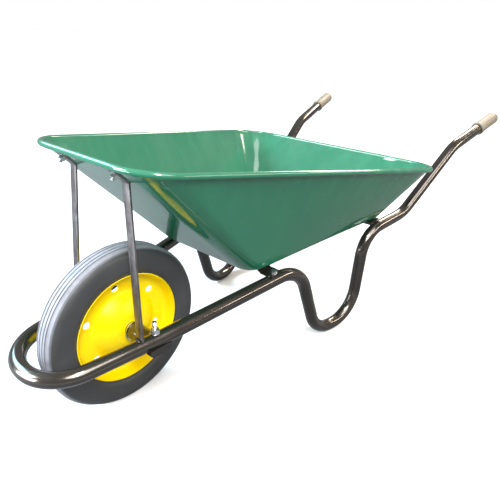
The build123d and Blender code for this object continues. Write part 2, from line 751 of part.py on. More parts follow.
def build_parts():
    """Every piece as a named shape, with the axle at x = 0."""
    points, radii = frame_corners()
    edges = bent_path(points, radii)
    layout = make_pan_layout(edges)
    half_envelope = swept_tube(edges, TUBE_RADIUS + SEAT_CLEARANCE)
    envelope = half_envelope + mirrored(half_envelope)

    stay_bolt = stay_bolt_plane(layout)
    house_bolt = housing_bolt_plane()
    bar_bolt = bar_bolt_plane(layout)
    house_stack = PAD_BELOW_TUBE + 2 * TUBE_RADIUS + TOP_WASHER_LIFT
    pan_bolts = [
        floor_plane(layout, FRONT_BAR_X, FRONT_PAN_BOLT_Y),
        floor_plane(layout, REAR_BAR_X, REAR_PAN_BOLT_Y),
    ]
    pan_stacks = [BAR_SHEET, REAR_BAR_HEIGHT + SKIN]

    bar_hole = drill(bar_bolt, BOLT_RADIUS, TUBE_RADIUS)
    house_hole = drill(house_bolt, HOUSING_BOLT_RADIUS, house_stack + THREAD_SPARE)
    stay_hole = drill(stay_bolt, BOLT_RADIUS, STAY_TAB)
    pan_holes = [drill(plane, BOLT_RADIUS, 2 * FRONT_BAR_HEIGHT) for plane in pan_bolts]

    front_bar = make_front_bar(layout, envelope) - bar_hole - mirrored(bar_hole)
    rear_bar = make_rear_bar(layout, envelope)
    pan = make_pan(layout) - stay_hole - mirrored(stay_hole)
    for hole in pan_holes:
        pan = pan - hole - mirrored(hole)
    front_bar = front_bar - pan_holes[0] - mirrored(pan_holes[0])
    rear_bar = rear_bar - pan_holes[1] - mirrored(pan_holes[1])

    stay = make_stay(layout, envelope)
    housing = make_housing(envelope)
    grip = make_grip(grip_plane(points))
    tyre_side_disc = make_disc()
    spacer = make_spacer()
    bush = make_bush()

    inside = along(stay_bolt, -PAN_SHEET)
    outside = along(stay_bolt, STAY_THICKNESS)
    stay_length = PAN_SHEET + STAY_THICKNESS + WASHER_HEIGHT + NUT_HEIGHT + THREAD_SPARE
    stay_bolts = dome_bolt(inside, BOLT_RADIUS, stay_length)
    stay_nuts = nut(along(outside, WASHER_HEIGHT), BOLT_RADIUS, NUT_FLATS, NUT_HEIGHT)
    stay_washers = washer(outside, BOLT_RADIUS)

    floor_bolts = []
    floor_nuts = []
    floor_washers = []
    for plane, stack in zip(pan_bolts, pan_stacks):
        length = PAN_SHEET + stack + WASHER_HEIGHT + NUT_HEIGHT + FLOOR_THREAD_SPARE
        floor_bolts.append(dome_bolt(along(plane, -PAN_SHEET), BOLT_RADIUS, length))
        floor_washers.append(washer(along(plane, stack), BOLT_RADIUS))
        seat = along(plane, stack + WASHER_HEIGHT)
        floor_nuts.append(nut(seat, BOLT_RADIUS, NUT_FLATS, NUT_HEIGHT))

    bar_length = WASHER_HEIGHT + BAR_SHEET + TUBE_WALL + THREAD_SPARE
    bar_seat = along(bar_bolt, -WASHER_HEIGHT)
    bar_bolts = bolt(bar_seat, BOLT_RADIUS, NUT_FLATS, HEAD_HEIGHT, bar_length)
    bar_washers = washer(bar_seat, BOLT_RADIUS)

    house_length = house_stack + WASHER_HEIGHT + HOUSING_NUT_HEIGHT + HOUSING_THREAD_SPARE
    house_bolts = bolt(
        house_bolt, HOUSING_BOLT_RADIUS, HOUSING_NUT_FLATS, HOUSING_HEAD_HEIGHT, house_length
    )
    house_washers = washer(
        along(house_bolt, house_stack), HOUSING_BOLT_RADIUS, HOUSING_WASHER_RADIUS
    )
    house_nuts = nut(
        along(house_bolt, house_stack + WASHER_HEIGHT),
        HOUSING_BOLT_RADIUS,
        HOUSING_NUT_FLATS,
        HOUSING_NUT_HEIGHT,
    )

    half_tube = make_half_tube(edges, [bar_hole, house_hole])
    reach = half_tube.bounding_box()
    shelf_join = points[6].X - SHELF_JOIN * (points[6].X - points[7].X)
    nose = tube_length_between(half_tube, reach.max.X + SKIN, NOSE_JOIN_X)
    leg_tube = tube_length_between(half_tube, NOSE_JOIN_X, shelf_join)
    handle_tube = tube_length_between(half_tube, shelf_join, reach.min.X - SKIN)

    return {
        "nose_loop": [nose + mirrored(nose)],
        "leg_tube_left": [leg_tube],
        "leg_tube_right": [mirrored(leg_tube)],
        "handle_tube_left": [handle_tube],
        "handle_tube_right": [mirrored(handle_tube)],
        "front_crossbar": [front_bar],
        "rear_crossbar": [rear_bar],
        "pan": [pan],
        "rim_wire": [make_rim_wire(layout)],
        "stay_left": [stay],
        "stay_right": [mirrored(stay)],
        "housing_left": [housing],
        "housing_right": [mirrored(housing)],
        "bush_left": [bush],
        "bush_right": [mirrored(bush)],
        "grip_left": [grip],
        "grip_right": [mirrored(grip)],
        "stay_bolts": [stay_bolts, mirrored(stay_bolts)],
        "stay_washers": [stay_washers, mirrored(stay_washers)],
        "stay_nuts": [stay_nuts, mirrored(stay_nuts)],
        "floor_bolts": floor_bolts + [mirrored(shape) for shape in floor_bolts],
        "floor_washers": floor_washers + [mirrored(shape) for shape in floor_washers],
        "floor_nuts": floor_nuts + [mirrored(shape) for shape in floor_nuts],
        "crossbar_bolts": [bar_bolts, mirrored(bar_bolts)],
        "crossbar_washers": [bar_washers, mirrored(bar_washers)],
        "housing_bolts": [house_bolts, mirrored(house_bolts)],
        "housing_washers": [house_washers, mirrored(house_washers)],
        "housing_nuts": [house_nuts, mirrored(house_nuts)],
        "tyre": [make_tyre()],
        "disc_left": [tyre_side_disc],
        "disc_right": [mirrored(tyre_side_disc)],
        "hub_sleeve": [make_hub_sleeve()],
        "axle": [make_axle()],
        "axle_spacers": [spacer, mirrored(spacer)],
    }


def main():
    """Build the pieces, centre them and write one STEP file each."""
    parts = build_parts()
    everything = Compound([shape for shapes in parts.values() for shape in shapes])
    box = everything.bounding_box()
    shift = -(box.min.X + box.max.X) / 2
    os.makedirs("parts", exist_ok=True)
    for name, shapes in parts.items():
        placed = [Pos(shift, 0, 0) * shape for shape in shapes]
        solids = [solid for shape in placed for solid in shape.solids()]
        result = solids[0] if len(solids) == 1 else Compound(solids)
        export_step(result, f"parts/{name}.step")
        print(name, len(solids), round(sum(solid.volume for solid in solids)))
    print("axle at x", round(shift, 3), "size", box.size)


main()
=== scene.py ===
"""Builder's wheelbarrow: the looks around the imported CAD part. Metres, same frame as the CAD."""

import json
import math

import bmesh
import bpy
from mathutils import Matrix, Vector, noise


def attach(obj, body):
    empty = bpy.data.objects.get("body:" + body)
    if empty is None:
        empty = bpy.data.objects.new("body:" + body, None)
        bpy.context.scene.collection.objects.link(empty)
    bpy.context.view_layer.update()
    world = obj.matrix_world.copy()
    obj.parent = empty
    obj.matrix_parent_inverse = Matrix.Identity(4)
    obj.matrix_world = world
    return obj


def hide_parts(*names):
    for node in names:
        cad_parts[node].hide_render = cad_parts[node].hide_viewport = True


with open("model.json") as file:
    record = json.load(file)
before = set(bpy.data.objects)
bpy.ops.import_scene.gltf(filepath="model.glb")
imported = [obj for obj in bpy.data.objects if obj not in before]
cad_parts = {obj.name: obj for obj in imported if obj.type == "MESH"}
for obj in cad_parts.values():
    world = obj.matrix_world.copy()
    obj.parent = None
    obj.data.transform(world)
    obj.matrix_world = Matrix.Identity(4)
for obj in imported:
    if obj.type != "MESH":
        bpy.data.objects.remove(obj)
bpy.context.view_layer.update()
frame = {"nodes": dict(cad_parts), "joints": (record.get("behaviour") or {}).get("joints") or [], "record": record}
NODES = frame["nodes"]
AXLE = Vector(frame["joints"][0]["pos_m"])

# Sizes in millimetres with the axle at x = 0, the same numbers as the part's source
TUBE_R = 16.0
FRAME_POINTS = (
    (214.0, 0.0, 182.787),
    (214.0, 79.48, 182.787),
    (0.0, 117.6, 197.0),
    (-382.09, 185.66, 239.52),
    (-462.56, 199.99, 16.0),
    (-612.04, 224.03, 16.0),
    (-626.78, 226.21, 264.0),
    (-801.78, 252.05, 284.87),
    (-1026.78, 285.27, 449.54),
    (-1259.78, 319.68, 515.475),
)
FRAME_BENDS = (91.3, 300.0, 85.0, 86.0, 86.0, 76.0, 110.0, 120.0)
TUBE_STEP = 12.0
SHEET = 1.5
BEAD_R = 6.0
BEAD_IN = BEAD_R - SHEET
RIM = ((53.5, 181.5, 89.0), (-820.5, 350.0, 100.0))
RIM_Z, RIM_SLOPE = 549.968, math.tan(math.radians(7.84))
FLOOR = ((-245.0, 149.0, 45.0), (-705.0, 231.0, 32.0))
FLOOR_Z, FLOOR_X, FLOOR_SLOPE = 260.663, -298.0, -0.0791452
TYRE_R = 180.0
STAY_T, STAY_HALF = 4.0, 10.0

# Camera: turn about up, tilt and roll in degrees, and the focal length in sensor widths
CAMERA_YAW, CAMERA_PITCH, CAMERA_ROLL = -139.993, -25.456, 1.893
CAMERA_FOCAL, SENSOR = 0.91649, 36.0
CAMERA_PLACE = (452.36, 726.89, 749.81)


def at(x, y, z):
    """Millimetres from the axle's station to a point in the scene."""
    return Vector((AXLE.x + x / 1000, y / 1000, z / 1000))


def make_camera():
    """The camera at the photograph's angle, rolled a little to the side."""
    yaw, pitch, roll = (math.radians(turn) for turn in (CAMERA_YAW, CAMERA_PITCH, CAMERA_ROLL))
    forward = Vector(
        (math.cos(pitch) * math.cos(yaw), math.cos(pitch) * math.sin(yaw), math.sin(pitch))
    )
    level = forward.cross(Vector((0, 0, 1))).normalized()
    upright = level.cross(forward)
    right = level * math.cos(roll) + upright * math.sin(roll)
    up = upright * math.cos(roll) - level * math.sin(roll)
    data = bpy.data.cameras.new("camera")
    data.sensor_width = SENSOR
    data.lens = SENSOR * CAMERA_FOCAL
    data.clip_start = 0.02
    data.clip_end = 60
    camera = bpy.data.objects.new("camera", data)
    turn = Matrix((right, up, -forward)).transposed().to_4x4()
    camera.matrix_world = Matrix.Translation(at(*CAMERA_PLACE)) @ turn
    bpy.context.scene.collection.objects.link(camera)
    bpy.context.scene.camera = camera


make_camera()


# Materials

def shader_of(name):
    material = bpy.data.materials.new(name)
    material.use_nodes = True
    tree = material.node_tree
    return material, tree, tree.nodes["Principled BSDF"]


def object_coords(tree, scale=(1, 1, 1)):
    coords = tree.nodes.new("ShaderNodeTexCoord")
    mapping = tree.nodes.new("ShaderNodeMapping")
    mapping.inputs["Scale"].default_value = scale
    tree.links.new(coords.outputs["Object"], mapping.inputs["Vector"])
    return mapping.outputs["Vector"]


def noise_of(tree, coords, scale, detail=4.0, rough=0.55):
    node = tree.nodes.new("ShaderNodeTexNoise")
    node.inputs["Scale"].default_value = scale
    node.inputs["Detail"].default_value = detail
    node.inputs["Roughness"].default_value = rough
    tree.links.new(coords, node.inputs["Vector"])
    return node.outputs["Fac"]


def ramp(tree, value, low, high, out_low=0.0, out_high=1.0):
    node = tree.nodes.new("ShaderNodeMapRange")
    node.inputs["From Min"].default_value = low
    node.inputs["From Max"].default_value = high
    node.inputs["To Min"].default_value = out_low
    node.inputs["To Max"].default_value = out_high
    tree.links.new(value, node.inputs["Value"])
    return node.outputs["Result"]


def blend_colour(tree, factor, first, second):
    node = tree.nodes.new("ShaderNodeMix")
    node.data_type = "RGBA"
    for socket, colour in ((node.inputs[6], first), (node.inputs[7], second)):
        if isinstance(colour, bpy.types.NodeSocket):
            tree.links.new(colour, socket)
        else:
            socket.default_value = (*colour, 1)
    tree.links.new(factor, node.inputs[0])
    return node.outputs[2]


def bump(tree, shader, height, strength, distance, below=None):
    node = tree.nodes.new("ShaderNodeBump")
    node.inputs["Strength"].default_value = strength
    node.inputs["Distance"].default_value = distance
    tree.links.new(height, node.inputs["Height"])
    if below is not None:
        tree.links.new(below, node.inputs["Normal"])
    tree.links.new(node.outputs["Normal"], shader.inputs["Normal"])
    return node.outputs["Normal"]


def product(tree, first, second):
    node = tree.nodes.new("ShaderNodeMath")
    node.operation = "MULTIPLY"
    tree.links.new(first, node.inputs[0])
    tree.links.new(second, node.inputs[1])
    return node.outputs["Value"]


def dust_and_top_light(tree, coords, amount):
    """How much lighter a face is painted, partly dust and partly painted light from above: none underneath, most
    where it looks up, in soft runs down the sheet.
    """
    facing = tree.nodes.new("ShaderNodeNewGeometry")
    parts = tree.nodes.new("ShaderNodeSeparateXYZ")
    tree.links.new(facing.outputs["Normal"], parts.inputs["Vector"])
    # Faces that look up are painted lighter: dust and painted top light
    level = ramp(tree, parts.outputs["Z"], 0.0, 0.16, 0.0, amount)
    streaks = noise_of(tree, object_coords(tree, (1, 1, 0.15)), 24.0, 5.0, 0.6)
    runs = ramp(tree, streaks, 0.3, 0.7, 0.75, 1.15)
    patches = ramp(tree, noise_of(tree, coords, 5.0, 3.0), 0.35, 0.65, 0.7, 1.1)
    return product(tree, product(tree, level, runs), patches)


def painted_reflection_runs(tree, coords):
    """Faint lighter upright runs painted as reflections, strongest high up and toward the handles."""
    place = tree.nodes.new("ShaderNodeSeparateXYZ")
    tree.links.new(coords, place.inputs["Vector"])
    high = ramp(tree, place.outputs["Z"], 0.36, 0.58)
    back = ramp(tree, place.outputs["X"], 0.30, -0.20, 0.15, 1.0)
    runs = noise_of(tree, object_coords(tree, (1, 1, 0.12)), 34.0, 3.0, 0.5)
    return product(tree, product(tree, high, back), ramp(tree, runs, 0.47, 0.60, 0.0, 0.50))


def paint(
    name, colour, shade, dust, rough, coat, peel, dust_amount, metallic=0.0, shine=0.4, dust_light_and_runs=None
):
    """Gloss paint: slow colour drift, thin dust, orange peel and fine scuffs.

    The last argument, if given, is (how much dust and painted top light lies on faces that look up, its colour,
    the colour of the lighter upright runs painted as reflections).
    """
    material, tree, shader = shader_of(name)
    coords = object_coords(tree)
    drift = ramp(tree, noise_of(tree, coords, 3.0), 0.35, 0.7)
    base = blend_colour(tree, drift, colour, shade)
    if dust_light_and_runs:
        amount, dust_and_light_colour, reflection_colour = dust_light_and_runs
        # Painted reflection runs, then dust and painted top light on faces that look up
        base = blend_colour(tree, painted_reflection_runs(tree, coords), base, reflection_colour)
        base = blend_colour(tree, dust_and_top_light(tree, coords, amount), base, dust_and_light_colour)
    specks = ramp(tree, noise_of(tree, coords, 26.0, 8.0, 0.7), 0.52, 0.75, 0.0, dust_amount)
    base = blend_colour(tree, specks, base, dust)
    tree.links.new(base, shader.inputs["Base Color"])
    gloss = ramp(tree, noise_of(tree, coords, 14.0, 6.0, 0.65), 0.35, 0.75, rough * 0.75, rough * 1.5)
    tree.links.new(gloss, shader.inputs["Roughness"])
    shader.inputs["Coat Weight"].default_value = coat
    shader.inputs["Coat Roughness"].default_value = 0.04
    shader.inputs["Metallic"].default_value = metallic
    shader.inputs["Specular IOR Level"].default_value = shine
    grain = bump(tree, shader, noise_of(tree, coords, 420.0, 2.0), peel, 0.0006)
    bump(tree, shader, noise_of(tree, coords, 38.0, 3.0), peel * 1.6, 0.002, grain)
    return material


def bare_metal(name, colour, shade, rough, scratch=(1, 1, 1), rust=None, rust_amount=0.0):
    """Bare or plated metal: brushed one way, dull patches, and rust spots where a colour is given."""
    material, tree, shader = shader_of(name)
    coords = object_coords(tree)
    long_coords = object_coords(tree, scratch)
    patch = ramp(tree, noise_of(tree, coords, 45.0, 6.0, 0.6), 0.35, 0.7)
    base = blend_colour(tree, patch, colour, shade)
    if rust:
        spots = ramp(tree, noise_of(tree, coords, 90.0, 8.0, 0.7), 0.56, 0.68, 0.0, rust_amount)
        base = blend_colour(tree, spots, base, rust)
    tree.links.new(base, shader.inputs["Base Color"])
    shader.inputs["Metallic"].default_value = 1.0
    streak = noise_of(tree, long_coords, 130.0, 4.0, 0.7)
    tree.links.new(ramp(tree, streak, 0.3, 0.7, rough * 0.7, rough * 1.4), shader.inputs["Roughness"])
    grain = bump(tree, shader, streak, 0.12, 0.0005)
    bump(tree, shader, noise_of(tree, coords, 60.0, 5.0), 0.08, 0.001, grain)
    return material


# Metres from the axle, or from the middle of the tread, over which each tone of the rubber fades in
TREAD_EDGE = ((TYRE_R - 7.8) / 1000, (TYRE_R - 3.5) / 1000)
CROWN_EDGE = (0.0162, 0.0168)
GROOVE_EDGE = ((TYRE_R - 1.8) / 1000, (TYRE_R - 0.3) / 1000)


def rubber(name):
    """Dark rubber with a dusty bloom and pitted skin; the tread is painted pale and bluish as a painted highlight,
    between dark grooves.
    """
    material, tree, shader = shader_of(name)
    coords = object_coords(tree)
    bloom = ramp(tree, noise_of(tree, coords, 9.0, 6.0, 0.6), 0.3, 0.75)
    base = blend_colour(tree, bloom, (0.034, 0.036, 0.036), (0.055, 0.057, 0.062))
    away = tree.nodes.new("ShaderNodeVectorMath")
    away.operation = "DISTANCE"
    tree.links.new(object_coords(tree, (1, 0, 1)), away.inputs[0])
    away.inputs[1].default_value = (AXLE.x, 0, AXLE.z)
    radius = away.outputs["Value"]
    # The tread is painted pale and bluish: a painted highlight, in patches; the grooves keep the plain dark rubber
    tread = ramp(tree, radius, *TREAD_EDGE)
    patchy_sheen = ramp(tree, noise_of(tree, coords, 30.0, 6.0, 0.7), 0.3, 0.8, 0.55, 1.0)
    base = blend_colour(tree, product(tree, tread, patchy_sheen), base, (0.31, 0.32, 0.36))
    sideways = tree.nodes.new("ShaderNodeSeparateXYZ")
    tree.links.new(coords, sideways.inputs["Vector"])
    from_middle = tree.nodes.new("ShaderNodeMath")
    from_middle.operation = "ABSOLUTE"
    tree.links.new(sideways.outputs["Y"], from_middle.inputs[0])
    on_crown = ramp(tree, from_middle.outputs["Value"], *CROWN_EDGE, 1.0, 0.0)
    sunk = ramp(tree, radius, *GROOVE_EDGE, 1.0, 0.0)
    base = blend_colour(tree, product(tree, on_crown, sunk), base, (0.035, 0.035, 0.038))
    tree.links.new(base, shader.inputs["Base Color"])
    gloss = ramp(tree, noise_of(tree, coords, 20.0, 5.0), 0.3, 0.7, 0.42, 0.62)
    tree.links.new(gloss, shader.inputs["Roughness"])
    grain = bump(tree, shader, noise_of(tree, coords, 600.0, 3.0), 0.25, 0.0004)
    bump(tree, shader, noise_of(tree, coords, 70.0, 4.0), 0.10, 0.001, grain)
    return material


def plastic(name, colour, shade, grime):
    """Moulded plastic with fine grain and grime from hands."""
    material, tree, shader = shader_of(name)
    coords = object_coords(tree)
    drift = ramp(tree, noise_of(tree, coords, 25.0, 5.0), 0.3, 0.7)
    base = blend_colour(tree, drift, colour, shade)
    dirt = ramp(tree, noise_of(tree, coords, 70.0, 8.0, 0.7), 0.5, 0.75, 0.0, 0.6)
    base = blend_colour(tree, dirt, base, grime)
    tree.links.new(base, shader.inputs["Base Color"])
    gloss = ramp(tree, noise_of(tree, coords, 60.0, 4.0), 0.3, 0.7, 0.35, 0.55)
    tree.links.new(gloss, shader.inputs["Roughness"])
    bump(tree, shader, noise_of(tree, coords, 900.0, 2.0), 0.15, 0.0003)
    return material


PAN_GREEN = paint(
    "pan_green", (0.009, 0.156, 0.080), (0.009, 0.140, 0.076), (0.08, 0.20, 0.13),
    rough=0.13, coat=0.60, peel=0.05, dust_amount=0.08,
    # Insides and tops painted lighter as dust and painted light from above, and lighter painted reflection runs on
    # the walls
    dust_light_and_runs=(0.26, (0.14, 0.25, 0.18), (0.05, 0.32, 0.17)),
)
FRAME_BLACK = paint(
    "frame_black", (0.030, 0.029, 0.029), (0.055, 0.049, 0.043), (0.12, 0.10, 0.08),
    rough=0.20, coat=0.9, peel=0.06, dust_amount=0.14, metallic=0.9,
    # Painted highlight: tube tops painted lighter and browner, mixed with dust, and lighter painted reflection
    # runs
    dust_light_and_runs=(0.42, (0.21, 0.175, 0.14), (0.17, 0.14, 0.11)),
)
WHEEL_YELLOW = paint(
    "wheel_yellow", (0.96, 0.74, 0.0), (0.94, 0.68, 0.0), (0.88, 0.62, 0.02),
    rough=0.30, coat=0.0, peel=0.04, dust_amount=0.12, shine=0.25,
)
HUB_BLACK = paint(
    "hub_black", (0.012, 0.011, 0.010), (0.03, 0.022, 0.015), (0.10, 0.07, 0.045),
    rough=0.38, coat=0.2, peel=0.15, dust_amount=0.4,
)
STAY_STEEL = bare_metal(
    "stay_steel", (0.15, 0.135, 0.13), (0.30, 0.285, 0.28),
    rough=0.32, scratch=(1, 1, 0.06), rust=(0.14, 0.07, 0.035), rust_amount=0.40,
)
ZINC = bare_metal("zinc", (0.62, 0.63, 0.66), (0.78, 0.79, 0.80), rough=0.24)
AXLE_STEEL = bare_metal("axle_steel", (0.35, 0.34, 0.34), (0.5, 0.5, 0.5), rough=0.3, scratch=(1, 12, 1))
BRONZE = bare_metal("bronze", (0.45, 0.30, 0.14), (0.35, 0.22, 0.10), rough=0.35)
WELD = bare_metal("weld", (0.06, 0.055, 0.05), (0.10, 0.085, 0.07), rough=0.35)
TYRE_RUBBER = rubber("tyre_rubber")
GRIP_PLASTIC = plastic("grip_plastic", (0.27, 0.235, 0.18), (0.20, 0.17, 0.13), (0.09, 0.075, 0.055))

SLOT_MATERIALS = {
    "frame_black": FRAME_BLACK,
    "pan_green": PAN_GREEN,
    "wire_steel": STAY_STEEL,
    "stay_steel": STAY_STEEL,
    "bronze": BRONZE,
    "grip_plastic": GRIP_PLASTIC,
    "zinc": ZINC,
    "tyre": TYRE_RUBBER,
    "wheel_yellow": WHEEL_YELLOW,
    "hub_black": HUB_BLACK,
    "axle_steel": AXLE_STEEL,
}


def dress_cad_nodes():
    """Every CAD node takes the material of its slot in the record."""
    for entry in frame["record"]["subparts"]:
        node = NODES[entry["node"]]
        material = SLOT_MATERIALS[entry["material_slot"]]
        if not node.material_slots:
            node.data.materials.append(None)
        for slot in node.material_slots:
            slot.link = "OBJECT"
            slot.material = material


dress_cad_nodes()


# Mesh helpers

def piece(name, verts, faces, material, body, slot, nodes=(), sharp=35.0):
    """A new mesh object that rides on a body and may stand for CAD nodes."""
    mesh = bpy.data.meshes.new(name)
    mesh.from_pydata([tuple(v) for v in verts], [], faces)
    mesh.validate()
    mesh.shade_smooth()
    mesh.set_sharp_from_angle(angle=math.radians(sharp))
    mesh.materials.append(material)
    obj = bpy.data.objects.new(name, mesh)
    bpy.context.scene.collection.objects.link(obj)
    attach(obj, body)
    if nodes:
        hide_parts(*nodes)
    return obj


def fix_normals(obj):
    """Turns every face outwards."""
    edit = bmesh.new()
    edit.from_mesh(obj.data)
    bmesh.ops.recalc_face_normals(edit, faces=edit.faces)
    edit.to_mesh(obj.data)
    edit.free()


def skin(rings, along=False):
    """Vertices and faces of closed rings, capped at both ends or joined along into a loop."""
    count = len(rings[0])
    verts = [point for ring in rings for point in ring]
    faces = []
    steps = len(rings) if along else len(rings) - 1
    for i in range(steps):
        a = i * count
        b = (i + 1) % len(rings) * count
        for j in range(count):
            k = (j + 1) % count
            faces.append((a + j, a + k, b + k, b + j))
    if not along:
        faces.append(tuple(range(count))[::-1])
        faces.append(tuple((len(rings) - 1) * count + j for j in range(count)))
    return verts, faces


def merge(parts):
    """Joins several (verts, faces) into one."""
    verts, faces = [], []
    for part_verts, part_faces in parts:
        base = len(verts)
        verts += part_verts
        faces += [tuple(base + i for i in face) for face in part_faces]
    return verts, faces


def mirrored(part):
    verts, faces = part
    return [Vector((v.x, -v.y, v.z)) for v in verts], [tuple(reversed(f)) for f in faces]


def corner_arc(before, corner, after, radius, step=math.radians(4), count=None):
    """Points on the tangent arc that rounds a corner, by steps of an angle or by count."""
    to_before = (before - corner).normalized()
    to_after = (after - corner).normalized()
    half = to_before.angle(to_after) / 2
    inward = (to_before + to_after).normalized()
    centre = corner + inward * (radius / math.sin(half))
    first = corner + to_before * (radius / math.tan(half)) - centre
    last = corner + to_after * (radius / math.tan(half)) - centre
    turn = first.angle(last)
    axis = first.cross(last).normalized()
    count = count or max(3, math.ceil(turn / step))
    return [centre + Matrix.Rotation(turn * k / count, 3, axis) @ first for k in range(count + 1)]


def bent_path(points, bends, run):
    """Points along straight runs joined by tangent arcs, none further apart than run."""
    path = [points[0]]
    for before, corner, after, radius in zip(points, points[1:], points[2:], bends):
        path += corner_arc(before, corner, after, radius)
    path.append(points[-1])
    dense = [path[0]]
    for point in path[1:]:
        gap = (point - dense[-1]).length
        if gap < 1e-6:
            continue
        parts = max(1, math.ceil(gap / run))
        start = dense[-1]
        dense += [start.lerp(point, k / parts) for k in range(1, parts + 1)]
    return dense


def frames_along(path):
    """Tangent, side and up at each point, carried along without twist."""
    result = []
    side = None
    for index, point in enumerate(path):
        ahead = path[min(index + 1, len(path) - 1)]
        behind = path[max(index - 1, 0)]
        tangent = (ahead - behind).normalized()
        if side is None:
            side = tangent.cross(Vector((0, 0, 1))).normalized()
        side = (side - tangent * side.dot(tangent)).normalized()
        result.append((point, tangent, side, tangent.cross(side)))
    return result


def catmull_rom(span, t):
    """One coordinate between the middle two of four values."""
    a, b, c, d = span
    square = (2 * a - 5 * b + 4 * c - d) * t * t
    cube = (3 * b - a - 3 * c + d) * t ** 3
    return 0.5 * (2 * b + (c - a) * t + square + cube)


def smooth_line(points, steps):
    """Catmull-Rom curve through the points."""
    padded = [points[0]] + list(points) + [points[-1]]
    out = []
    for i in range(1, len(padded) - 2):
        spans = list(zip(*padded[i - 1 : i + 3]))
        for k in range(steps):
            t = k / steps
            out.append(tuple(catmull_rom(span, t) for span in spans))
    out.append(tuple(points[-1]))
    return out


def offset_line(points, distance):
    """A 2-D line moved sideways by a distance."""
    moved = []
    for i, (a, b) in enumerate(points):
        before = points[max(i - 1, 0)]
        after = points[min(i + 1, len(points) - 1)]
        run, rise = after[0] - before[0], after[1] - before[1]
        length = math.hypot(run, rise)
        moved.append((a - rise / length * distance, b + run / length * distance))
    return moved


# Frame tube

KINKS = ((7, 0.05), (8, 0.04))
FLAT_REACH, WRINKLE_REACH, WRINKLE_SHARE = 22, 6, 0.35
TUBE_SIDES = 40
TUBE_NODES = ("nose_loop", "leg_tube_left", "leg_tube_right", "handle_tube_left", "handle_tube_right")


def bend_mark(point):
    """Slight flattening and wrinkle that cold bending leaves at the tight kinks."""
    change = 0.0
    for corner, depth in KINKS:
        away = (Vector((point.x, abs(point.y), point.z)) - at(*FRAME_POINTS[corner])).length * 1000
        change -= depth * math.exp(-((away / FLAT_REACH) ** 2))
        change += depth * WRINKLE_SHARE * math.exp(-((away / WRINKLE_REACH) ** 2))
    return 1 + change


def build_tube():
    """One bent tube from grip to grip, through the nose."""
    half = [at(*point) for point in FRAME_POINTS]
    path = bent_path(half, [radius / 1000 for radius in FRAME_BENDS], TUBE_STEP / 1000)
    other = [Vector((p.x, -p.y, p.z)) for p in path[1:]]
    rings = []
    for point, tangent, side, up in frames_along(list(reversed(path)) + other):
        squash = bend_mark(point)
        ring = []
        for k in range(TUBE_SIDES):
            a = 2 * math.pi * k / TUBE_SIDES
            ring.append(point + (side * math.cos(a) + up * math.sin(a) * squash) * (TUBE_R / 1000))
        rings.append(ring)
    piece("tube", *skin(rings), FRAME_BLACK, "frame", "frame_black", TUBE_NODES)


build_tube()


# Pan

ARC_STEPS, RUN_STEPS, WALL_STEPS = 20, 26, 17
FLOOR_BEND = 15.0
BEAD_TURN, BEAD_STEPS = 320, 20
FLOOR_SHARES = (0.02, 0.35, 0.65, 0.85)
RIPPLE_REACH = 0.96
# Ripples: where along the pan each kind is strongest, over what length, and how deep it is
WAVE_AT, WAVE_SPAN, WAVE_DEPTH = -720, 330, 0.40
CORNER_AT, CORNER_SPAN, CORNER_DEPTH = -780, 60, 0.34
SIDE_AT, SIDE_SPAN, SIDE_DEPTH = -690, 120, 0.34
SLOW_DEPTH = 0.8


def outline(ends, height):
    """Points round a tapered outline with rounded corners, left front corner first."""
    (front, front_half, front_r), (rear, rear_half, rear_r) = ends
    corners = [(front, front_half), (front, -front_half), (rear, -rear_half), (rear, rear_half)]
    radii = [front_r, front_r, rear_r, rear_r]
    points = [Vector((x, y, height(x))) for x, y in corners]
    arcs = []
    for i in range(4):
        arcs.append(corner_arc(points[i - 1], points[i], points[(i + 1) % 4], radii[i], count=ARC_STEPS))
    samples = []
    for i in range(4):
        samples += arcs[i]
        start, end = arcs[i][-1], arcs[(i + 1) % 4][0]
        samples += [start.lerp(end, k / RUN_STEPS) for k in range(1, RUN_STEPS)]
    return samples


def outward_of(samples):
    """Horizontal outward direction at each outline sample."""
    count = len(samples)
    result = []
    for i in range(count):
        tangent = samples[(i + 1) % count] - samples[i - 1]
        flat = Vector((tangent.x, tangent.y, 0)).normalized()
        result.append(Vector((-flat.y, flat.x, 0)))
    return result if result[0].x > 0 else [-v for v in result]


def pan_ripple(point, height):
    """Shallow waves left in the sheet by pressing, strongest near the rear corners."""
    x, y, z = point
    away = max(0.0, 1 - abs(x - WAVE_AT) / WAVE_SPAN)
    wave = math.sin(y * 0.085 + z * 0.02) * math.sin(x * 0.085 + y * 0.02)
    slow = noise.noise(Vector((x * 0.006, y * 0.006, z * 0.004)))
    corner = math.exp(-(((x - CORNER_AT) / CORNER_SPAN) ** 2)) * math.sin(x * 0.30 + abs(y) * 0.22)
    side = math.exp(-(((x - SIDE_AT) / SIDE_SPAN) ** 2)) * math.sin(x * 0.105 + z * 0.012)
    lift = math.sin(math.pi * min(1.0, max(0.0, height))) ** 0.5
    return lift * (WAVE_DEPTH * away * wave + SLOW_DEPTH * slow + CORNER_DEPTH * corner + SIDE_DEPTH * side)


def eased(start, corner, end, steps=7):
    """Points on the curve that leaves start toward the corner and arrives at end from it."""
    shares = [k / steps for k in range(steps + 1)]
    return [start * (1 - t) ** 2 + corner * 2 * t * (1 - t) + end * t * t for t in shares]


def wall_points(start, end, outward, rising):
    """Points up or down a wall, with the ripples of the sheet."""
    points = []
    for k in range(1, WALL_STEPS):
        t = k / WALL_STEPS
        point = start.lerp(end, t)
        height = (t if rising else 1 - t) * RIPPLE_REACH
        points.append(point + outward * pan_ripple(point, height))
    return points


